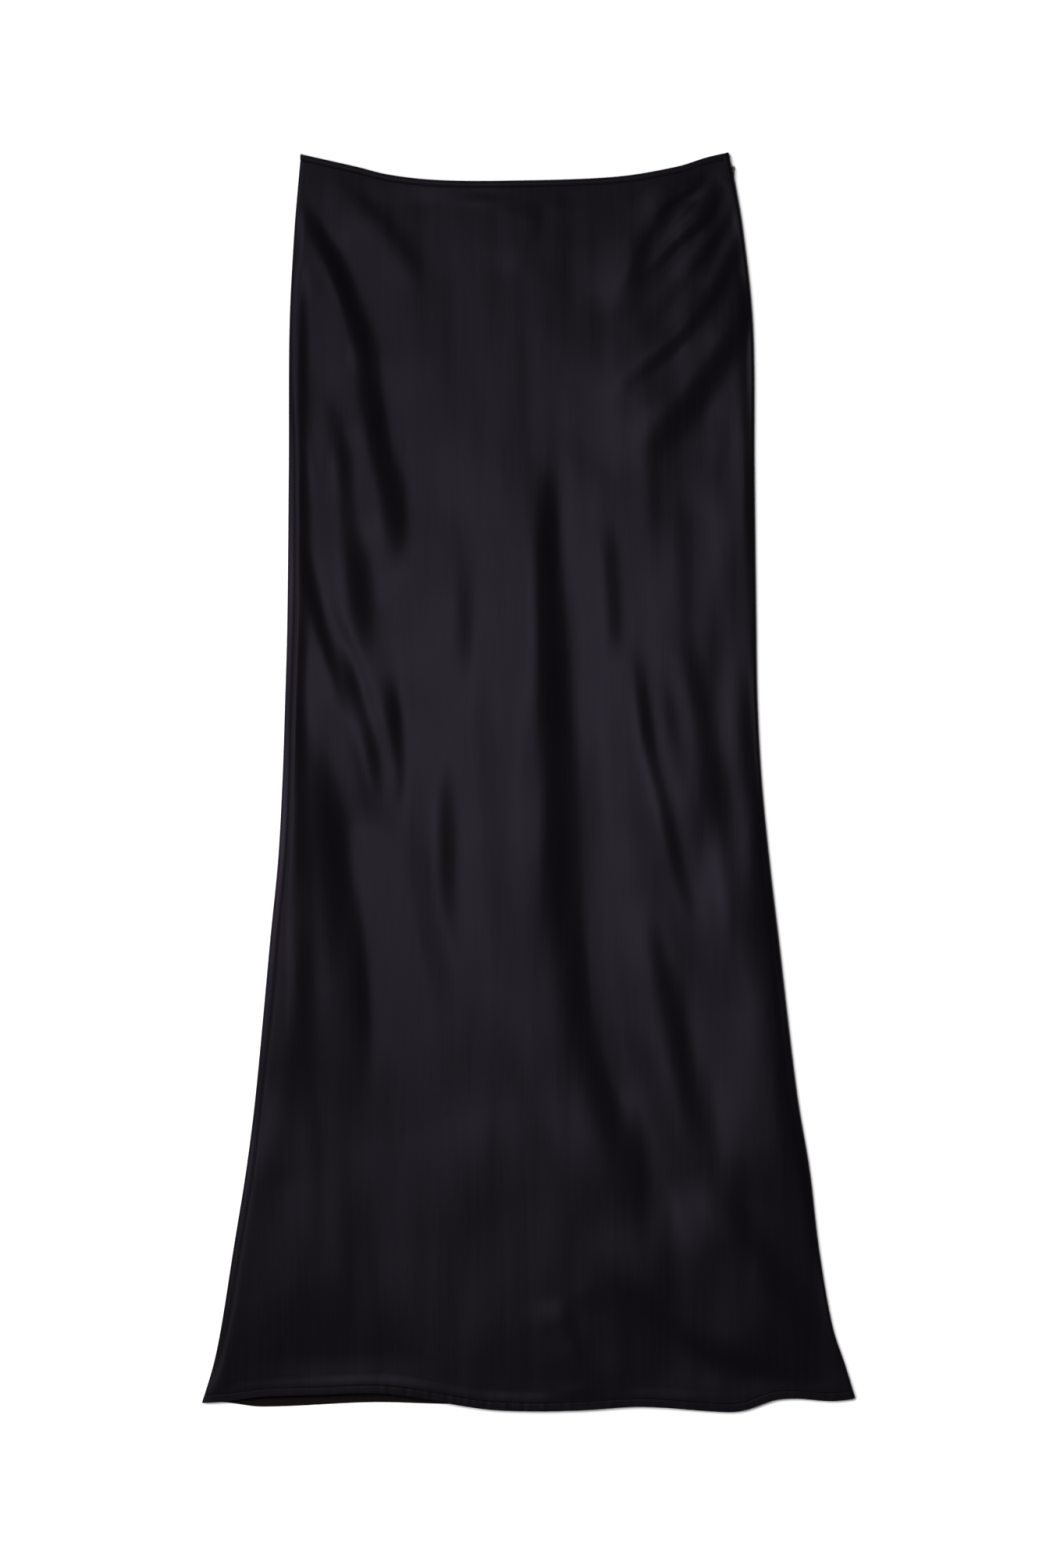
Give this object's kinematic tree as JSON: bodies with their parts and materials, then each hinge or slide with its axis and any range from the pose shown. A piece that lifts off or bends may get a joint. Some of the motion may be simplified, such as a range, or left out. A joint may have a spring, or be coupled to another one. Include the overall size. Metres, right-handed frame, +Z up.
{
  "type": "mermaid fishtail skirt",
  "caption": "Long satin slip skirt with a close fit to the knee, a fishtail flare and a concealed side zip, laid flat front side up.",
  "frame": {"origin": "on the surface that the skirt lies on, under the middle of the whole object's box", "axes": "+X to the right as seen from above with the waist at the top, +Y from the hem towards the waist, +Z up out of the front of the skirt"},
  "size_m": [0.5302, 1.0228, 0.0114],
  "materials": {
    "satin": "satin",
    "zip_nylon": "matte",
    "zip_enamel": "gloss"
  },
  "bodies": {
    "skirt": {"front_panel": "satin", "back_panel": "satin", "front_waist_binding": "satin", "back_waist_binding": "satin", "front_hem_turn_up": "satin", "back_hem_turn_up": "satin", "zip_tape_front": "zip_nylon", "zip_tape_back": "zip_nylon", "zip_chain": "zip_nylon", "zip_bottom_stop": "zip_enamel", "zip_slider": "zip_enamel"},
    "pull_tab": {"zip_pull_tab": "zip_enamel"}
  },
  "joints": [
    {"name": "pull_tab_swing", "type": "hinge", "parent": "skirt", "child": "pull_tab", "pos_m": [0.16644, 0.49807, 0.0033], "axis": [0, 0, 1], "range_deg": [0, 165]}
  ]
}
